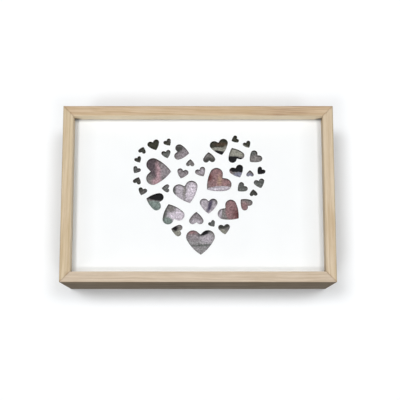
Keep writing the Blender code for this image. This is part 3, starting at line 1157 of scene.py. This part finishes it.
@dataclass
class HeartPanel:
    """The white board between the rails, with the hearts cut through it.

    edge_ease is how far a cut's rim opens, as a share of the heart's width. ease_deep is how deep it does,
    and past how far the cutter runs beyond each side, both as shares of the board's thickness.
    """

    sizes: BoxSizes
    pattern: HeartPattern
    edge_ease: float = 0.006
    ease_deep: float = 0.05
    past: float = 0.5
    smooth_below: float = 30

    def cutter(self) -> bpy.types.Object:
        """Makes the heart that is cut, one unit wide, which flares at its top to ease the cut's edge.

        Returns:
            A closed body that runs past both sides of the board.
        """
        outline = self.pattern.shape.outline()
        thick = self.sizes.panel_top - self.sizes.panel_bottom
        levels = (
            (-thick * self.past, 0.0),
            (thick - thick * self.ease_deep, 0.0),
            (thick, self.edge_ease),
            (thick * (1 + self.past), self.edge_ease),
        )
        bm = bmesh.new()
        rings = []
        for height, grow in levels:
            ring = []
            for index, (x, y) in enumerate(outline):
                before = Vector(outline[index - 1])
                after = Vector(outline[(index + 1) % len(outline)])
                along = (after - before).normalized()
                ring.append(bm.verts.new((x + along.y * grow, y - along.x * grow, height)))
            rings.append(ring)
        bm.faces.new(reversed(rings[0]))
        bm.faces.new(rings[-1])
        for lower, upper in zip(rings, rings[1:]):
            for index in range(len(outline)):
                after = (index + 1) % len(outline)
                bm.faces.new((lower[index], lower[after], upper[after], upper[index]))
        mesh = bpy.data.meshes.new("heart_cutter")
        bm.to_mesh(mesh)
        bm.free()
        return mesh_object("heart_cutter", mesh)

    def tree(self) -> tuple[bpy.types.NodeTree, dict[str, str]]:
        """Builds the geometry tree that cuts a heart at each point of its input out of a board.

        Returns:
            The tree, and its inputs' identifiers by their names.
        """
        tree = bpy.data.node_groups.new("heart_cut_outs", "GeometryNodeTree")
        tree.interface.new_socket("Places", in_out="INPUT", socket_type="NodeSocketGeometry")
        tree.interface.new_socket("Panel", in_out="OUTPUT", socket_type="NodeSocketGeometry")
        kinds = {
            "Heart": "NodeSocketObject", "Board Size": "NodeSocketVector", "Board Middle": "NodeSocketVector",
            "Cell": "NodeSocketVector", "Pattern Middle": "NodeSocketVector",
            "Face Paint": "NodeSocketMaterial", "Cut Edge": "NodeSocketMaterial",
        }
        names = {}
        for name, kind in kinds.items():
            names[name] = tree.interface.new_socket(name, in_out="INPUT", socket_type=kind).identifier
        given = add_node(tree, "NodeGroupInput").outputs
        heart = add_node(tree, "GeometryNodeObjectInfo", {"Object": given["Heart"]})
        width = add_node(tree, "GeometryNodeInputNamedAttribute", {"Name": "width"}, data_type="FLOAT")
        turn = add_node(tree, "GeometryNodeInputNamedAttribute", {"Name": "turn"}, data_type="FLOAT")
        rotation = add_node(tree, "ShaderNodeCombineXYZ", {"Z": turn.outputs["Attribute"]})
        scale = add_node(tree, "ShaderNodeCombineXYZ", {
            "X": width.outputs["Attribute"], "Y": width.outputs["Attribute"], "Z": 1.0,
        })
        hearts = add_node(tree, "GeometryNodeInstanceOnPoints", {
            "Points": given["Places"], "Instance": heart.outputs["Geometry"],
            "Rotation": rotation.outputs[0], "Scale": scale.outputs[0],
        })
        solid_hearts = add_node(tree, "GeometryNodeRealizeInstances", {"Geometry": hearts.outputs[0]})
        placed = add_node(tree, "GeometryNodeTransform", {
            "Geometry": solid_hearts.outputs[0], "Translation": given["Pattern Middle"],
            "Scale": given["Cell"],
        })
        board = add_node(tree, "GeometryNodeMeshCube", {"Size": given["Board Size"]})
        set_in = add_node(tree, "GeometryNodeTransform", {
            "Geometry": board.outputs["Mesh"], "Translation": given["Board Middle"],
        })
        cut = add_node(tree, "GeometryNodeMeshBoolean", {
            "Mesh 1": set_in.outputs[0], "Mesh 2": placed.outputs[0],
        }, operation="DIFFERENCE", solver="EXACT")
        real = add_node(tree, "GeometryNodeRealizeInstances", {"Geometry": cut.outputs["Mesh"]})
        painted = add_node(tree, "GeometryNodeSetMaterial", {
            "Geometry": real.outputs[0], "Material": given["Face Paint"],
        })
        normal = add_node(tree, "GeometryNodeInputNormal")
        facing = add_node(tree, "ShaderNodeSeparateXYZ", {0: normal.outputs[0]})
        level = add_node(tree, "ShaderNodeMath", {0: facing.outputs["Z"]}, operation="ABSOLUTE")
        upright = add_node(tree, "ShaderNodeMath", {0: level.outputs[0], 1: 0.5}, operation="LESS_THAN")
        edged = add_node(tree, "GeometryNodeSetMaterial", {
            "Geometry": painted.outputs[0], "Selection": upright.outputs[0], "Material": given["Cut Edge"],
        })
        add_node(tree, "NodeGroupOutput", {0: edged.outputs[0]})
        return tree, names

    def build(self) -> bpy.types.Object:
        """Makes the board and cuts it.

        Returns:
            The panel.
        """
        low, high = (Vector(corner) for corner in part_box("heart_panel"))
        cell = self.pattern.cell
        upright = cell * self.pattern.flat_ratio * self.pattern.cell_ratio
        heart = self.cutter()
        tree, names = self.tree()
        panel = mesh_object("cut_out_panel", self.pattern.points())
        cutting = panel.modifiers.new("heart_cut_outs", "NODES")
        cutting.node_group = tree
        settings = {
            "Heart": heart,
            "Board Size": high - low,
            "Board Middle": (high + low) / 2,
            "Cell": (cell, upright, 1.0),
            "Pattern Middle": (*self.pattern.middle, self.sizes.panel_bottom),
            "Face Paint": EggshellPaint(self.sizes.open_width).build(),
            "Cut Edge": LaserCutEdge().build(),
        }
        for name, value in settings.items():
            cutting[names[name]] = value
        as_plain_mesh(panel)
        smooth(panel.data, self.smooth_below)
        bpy.data.objects.remove(heart)
        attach(panel, "root")
        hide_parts("heart_panel")
        return panel


# Boards that keep their solids

PRINT_PATCHES = (
    # Dark ground along the top and the left
    Patch(-50, 48, 24, 16, 10, Ink.OLIVE_BLACK),
    Patch(-32, 41, 6, 5, 0, Ink.SLATE),
    Patch(-63, 18, 11, 19, 0, Ink.CHARCOAL),
    Patch(-62, 25, 6, 5, 0, Ink.SLATE, 0.5),
    Patch(44, 54, 34, 12, 0, Ink.OLIVE_BLACK),
    Patch(62, 25, 9, 6, 0, Ink.BLACK),
    Patch(53, 8, 18, 12, 0, Ink.SLATE),
    Patch(54, 1, 6, 5, 0, Ink.CHARCOAL),
    Patch(-33, 8, 6, 6, 0, Ink.SLATE),
    Patch(-58, 45, 4, 3, 0, Ink.CHARCOAL, 0.6),
    # Soft greys in the middle
    Patch(-15, 43, 9, 9, 0, Ink.MAUVE_GREY),
    Patch(-20.5, 48, 4, 3, 40, Ink.CHARCOAL, 0.6),
    Patch(-10, 25, 16, 10, 0, Ink.MAUVE_GREY),
    Patch(-8, 33, 6, 4, 0, Ink.WARM_GREY),
    Patch(2.5, 24.5, 2.4, 2, 0, Ink.LILAC, 0.8),
    Patch(-14, 3, 15, 13, 0, Ink.LILAC),
    Patch(-8, 5, 5, 8, -15, Ink.PALE_LILAC, 0.6),
    Patch(-14.5, 5, 1.6, 8, 0, Ink.WARM_GREY, 0.8),
    Patch(-26, 3, 2.5, 8, 0, Ink.SLATE, 0.6),
    # Left lobe's rosy light
    Patch(-51, 25, 10, 16, 0, Ink.PLUM_GREY),
    Patch(-51, 15, 6, 6, 0, Ink.WARM_GREY, 0.6),
    Patch(-31, 23, 10, 13, 0, Ink.MAUVE_GREY),
    Patch(-41, 24, 2.4, 10, 6, Ink.DUSTY_ROSE, 0.8),
    Patch(-43, 14, 4.5, 3.5, 20, Ink.DUSTY_ROSE, 0.8),
    Patch(-34, 15, 3.5, 2.5, -40, Ink.CHARCOAL, 0.6),
    Patch(-43, 1, 11.5, 6.3, -8, Ink.BLACK, 0.2),
    Patch(-43, -12, 13, 6, -8, Ink.SAGE, 0.15),
    # Right lobe's bands
    Patch(19, 51, 12, 7, 0, Ink.OLIVE_BLACK, 0.15),
    Patch(22, 52.5, 6, 1.6, 0, Ink.UMBER, 0.8),
    Patch(21, 47, 11, 2.6, 0, Ink.STONE, 0.15),
    Patch(21.5, 42.9, 9, 3.3, -6, Ink.BLACK, 0.15),
    Patch(10, 35, 6, 4, 0, Ink.CHARCOAL, 0.5),
    Patch(37, 47, 13, 7, 0, Ink.STONE, 0.15),
    Patch(35, 35, 11, 5.5, -8, Ink.BLACK, 0.15),
    Patch(58, 37, 8, 6, 0, Ink.WARM_GREY),
    Patch(53, 44, 4, 3, 30, Ink.SLATE),
    Patch(42, 28, 14, 4.5, 0, Ink.BLACK, 0.12),
    Patch(43, 18.5, 13, 5, 0, Ink.BLUE_GREY, 0.12),
    # Right lobe's rosy heart
    Patch(20, 17, 13, 12, 0, Ink.ROSE_BROWN),
    Patch(10, 18.5, 3.5, 3.5, 0, Ink.WINE, 0.6),
    Patch(20.5, 15, 2.4, 5, 0, Ink.TAN, 0.9),
    Patch(22, 5.6, 15, 4, 0, Ink.LILAC, 0.12),
    Patch(16, 6.4, 8, 1, 3, Ink.PALE_LILAC, 0.8),
    # Lower part
    Patch(-24, -20, 14, 10, 0, Ink.LILAC),
    Patch(-22, -20, 8, 6, 0, Ink.PALE_LILAC, 0.5),
    Patch(-30, -12, 7, 4.5, -30, Ink.WARM_GREY, 0.5),
    Patch(-35, -18, 3, 7, 0, Ink.SLATE, 0.6),
    Patch(-32, -27, 6, 5, 0, Ink.SAGE),
    Patch(7, -13, 11, 10, 0, Ink.LILAC),
    Patch(10.5, -10.5, 2, 7, -20, Ink.VIOLET, 0.6),
    Patch(-3, -23, 8, 6, 0, Ink.MAUVE_GREY),
    Patch(-3, -27, 6, 2.5, 0, Ink.LILAC),
    Patch(37, -14, 11, 14, 0, Ink.ROSE_BROWN, 0.12),
    Patch(39, -20, 4, 6, 30, Ink.WINE, 0.9),
    Patch(18, -17, 5, 9, 0, Ink.LILAC, 0.08),
    Patch(48, -10, 8, 7, 0, Ink.WARM_GREY),
    Patch(45, -11, 4, 4, 0, Ink.ROSE_BROWN, 0.8),
    Patch(-21, -38, 7, 4, 0, Ink.STONE),
    Patch(-24, -33.5, 3, 2.5, 0, Ink.BLACK, 0.6),
    Patch(25, -30.5, 6, 3, 20, Ink.CHARCOAL),
    Patch(23, -37, 5, 3, 0, Ink.STONE),
    Patch(12, -28, 4, 4, 0, Ink.SLATE),
    # Tip
    Patch(1, -48, 15, 14, 0, Ink.GREY),
    Patch(-6, -41.5, 7, 4.5, 0, Ink.MAUVE_GREY),
    Patch(-7, -37, 6, 2.4, 0, Ink.ROSE_BROWN, 0.9),
    Patch(8, -43.5, 6, 4, 0, Ink.LILAC, 0.8),
    Patch(5, -38, 6, 2.2, 20, Ink.BLACK, 0.5),
    Patch(2, -50.5, 13, 1.1, 4, Ink.SLATE, 0.6),
)


@dataclass
class BackingBoards:
    """The printed sheet behind the panel and the board that closes the back."""

    pattern: HeartPattern

    def build(self) -> list[bpy.types.Object]:
        """Dresses the two boards, whose solids are right as they are.

        Returns:
            The boards.
        """
        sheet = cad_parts["picture_print"]
        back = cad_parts["back_board"]
        picture = MutedPrint(self.pattern.cell, self.pattern.middle, PRINT_PATCHES)
        self.dress(sheet, picture.build())
        self.dress(back, Hardboard().build())
        return [sheet, back]

    @staticmethod
    def dress(piece: bpy.types.Object, material: bpy.types.Material) -> None:
        """Gives a solid its one material."""
        for slot in piece.material_slots:
            slot.material = material


# Studio

@dataclass(frozen=True)
class Lamp:
    """A large soft lamp far above the floor, by where its light comes from.

    from_right and from_top are how many degrees off upright its light comes from, towards the right and the
    upper side of the box. strength is in watts per square metre, and spread is the lamp's width in degrees.
    """

    name: str
    from_right: float
    from_top: float
    strength: float
    spread: float

    def hang(self) -> None:
        """Adds the lamp, aimed at the box."""
        light = bpy.data.lights.new(self.name, "SUN")
        light.energy = self.strength
        light.angle = math.radians(self.spread)
        lamp = bpy.data.objects.new(self.name, light)
        aside, upward = math.radians(self.from_right), math.radians(self.from_top)
        came_from = Vector((math.tan(aside), math.tan(upward), 1))
        lamp.rotation_euler = came_from.to_track_quat("Z", "Y").to_euler()
        bpy.context.scene.collection.objects.link(lamp)


@dataclass(frozen=True)
class Studio:
    """A plain pale floor, soft lamps to the left and right, a dim room and the camera.

    Four of the lamps hang high above the box, and two lower, past its lower side. room_turns_back and
    room_turns_up are the Y and the Z of a unit direction between which the room's light changes.
    """

    sizes: BoxSizes
    lamps: tuple[Lamp, ...] = (
        Lamp("lamp_left", -20, 7, 1.11, 17),
        Lamp("lamp_right", 20, 8, 0.75, 17),
        Lamp("lamp_high_left", -10, 11, 0.30, 14),
        Lamp("lamp_high_right", 10, 11, 0.26, 14),
        Lamp("lamp_low_left", -20, -28, 0.56, 13),
        Lamp("lamp_low_right", 20, -28, 0.42, 13),
    )
    room_light: float = 0.13
    room_below: float = 0.8
    room_below_front: float = 0.1
    room_seen: float = 0.95
    room_turns_back: Span = (-0.5, 0.1)
    room_turns_up: Span = (-0.15, 0.15)
    floor_reach: float = 6.0
    floor_colour: str = "#F5F7F9"
    focal_px: float = 749.7
    frame_px: float = 400
    sensor_mm: float = 36
    camera_up: float = 0.750
    camera_x: float = 0.002
    camera_y: float = -0.1721
    camera_lean: float = math.radians(7.78)
    shift_y: float = 0.15

    def floor(self) -> bpy.types.Object:
        """Lays the floor, whose own bounce the room's light from below stands for.

        Returns:
            The floor.
        """
        reach = self.floor_reach
        mesh = bpy.data.meshes.new("floor")
        mesh.from_pydata([(-reach, -reach, 0), (reach, -reach, 0), (reach, reach, 0), (-reach, reach, 0)],
                         [], [(0, 1, 2, 3)])
        floor = mesh_object("floor", mesh)
        floor.visible_diffuse = False
        floor.visible_glossy = False
        material, shader = new_material("white_studio_card", Roughness=0.9, Specular_IOR_Level=0.0)
        shader.inputs["Base Color"].default_value = linear(self.floor_colour)
        mesh.materials.append(material)
        return floor

    def room(self) -> None:
        """Fills the room with dim light, and shows it pale behind the floor.

        The lower half stands for the floor's bounce, which is dimmest past the box's lower side.
        """
        world = bpy.data.worlds.new("studio")
        bpy.context.scene.world = world
        world.use_nodes = True
        tree = world.node_tree
        tree.nodes.clear()
        way = add_node(tree, "ShaderNodeTexCoord").outputs["Generated"]
        parts = add_node(tree, "ShaderNodeSeparateXYZ", {0: way})
        front, back = self.room_turns_back
        low, high = self.room_turns_up
        below = add_node(tree, "ShaderNodeMapRange", {
            "Value": parts.outputs["Y"], "From Min": front, "From Max": back,
            "To Min": self.room_below_front, "To Max": self.room_below,
        }).outputs["Result"]
        level = add_node(tree, "ShaderNodeMapRange", {
            "Value": parts.outputs["Z"], "From Min": low, "From Max": high,
            "To Min": below, "To Max": self.room_light,
        }).outputs["Result"]
        seen = add_node(tree, "ShaderNodeLightPath").outputs["Is Camera Ray"]
        strength = add_node(tree, "ShaderNodeMix", {
            "Factor": seen, "A": level, "B": self.room_seen,
        }, data_type="FLOAT").outputs["Result"]
        light = add_node(tree, "ShaderNodeBackground", {"Color": (1, 1, 1, 1), "Strength": strength})
        add_node(tree, "ShaderNodeOutputWorld", {"Surface": light.outputs[0]})

    def camera(self) -> None:
        """Sets the camera high above the box and past its lower side.

        Its height and its shift were chosen, and the rest was fitted to corners read off the photograph.
        """
        lens = bpy.data.cameras.new("camera")
        lens.sensor_width = self.sensor_mm
        lens.lens = self.focal_px * self.sensor_mm / self.frame_px
        lens.shift_y = self.shift_y
        lens.clip_start = 0.01
        camera = bpy.data.objects.new("camera", lens)
        camera.location = (self.camera_x, self.camera_y, self.sizes.depth + self.camera_up)
        camera.rotation_euler = (self.camera_lean, 0, 0)
        bpy.context.scene.collection.objects.link(camera)
        bpy.context.scene.camera = camera

    def build(self) -> None:
        """Sets up the floor, the light and the camera."""
        bpy.context.scene.view_settings.view_transform = "Standard"
        self.floor()
        self.room()
        for lamp in self.lamps:
            lamp.hang()
        self.camera()


def main() -> None:
    """Builds every sub-assembly in order and reports its pieces."""
    logging.basicConfig(level=logging.INFO, format="%(name)s: %(message)s")
    sizes = BoxSizes.from_frame()
    pattern = HeartPattern(sizes)
    Studio(sizes).build()
    pieces: list[bpy.types.Object] = []
    pieces += RailFrame(sizes).build()
    pieces.append(HeartPanel(sizes, pattern).build())
    pieces += BackingBoards(pattern).build()
    for piece in pieces:
        report(piece)


if __name__ == "__main__":
    main()
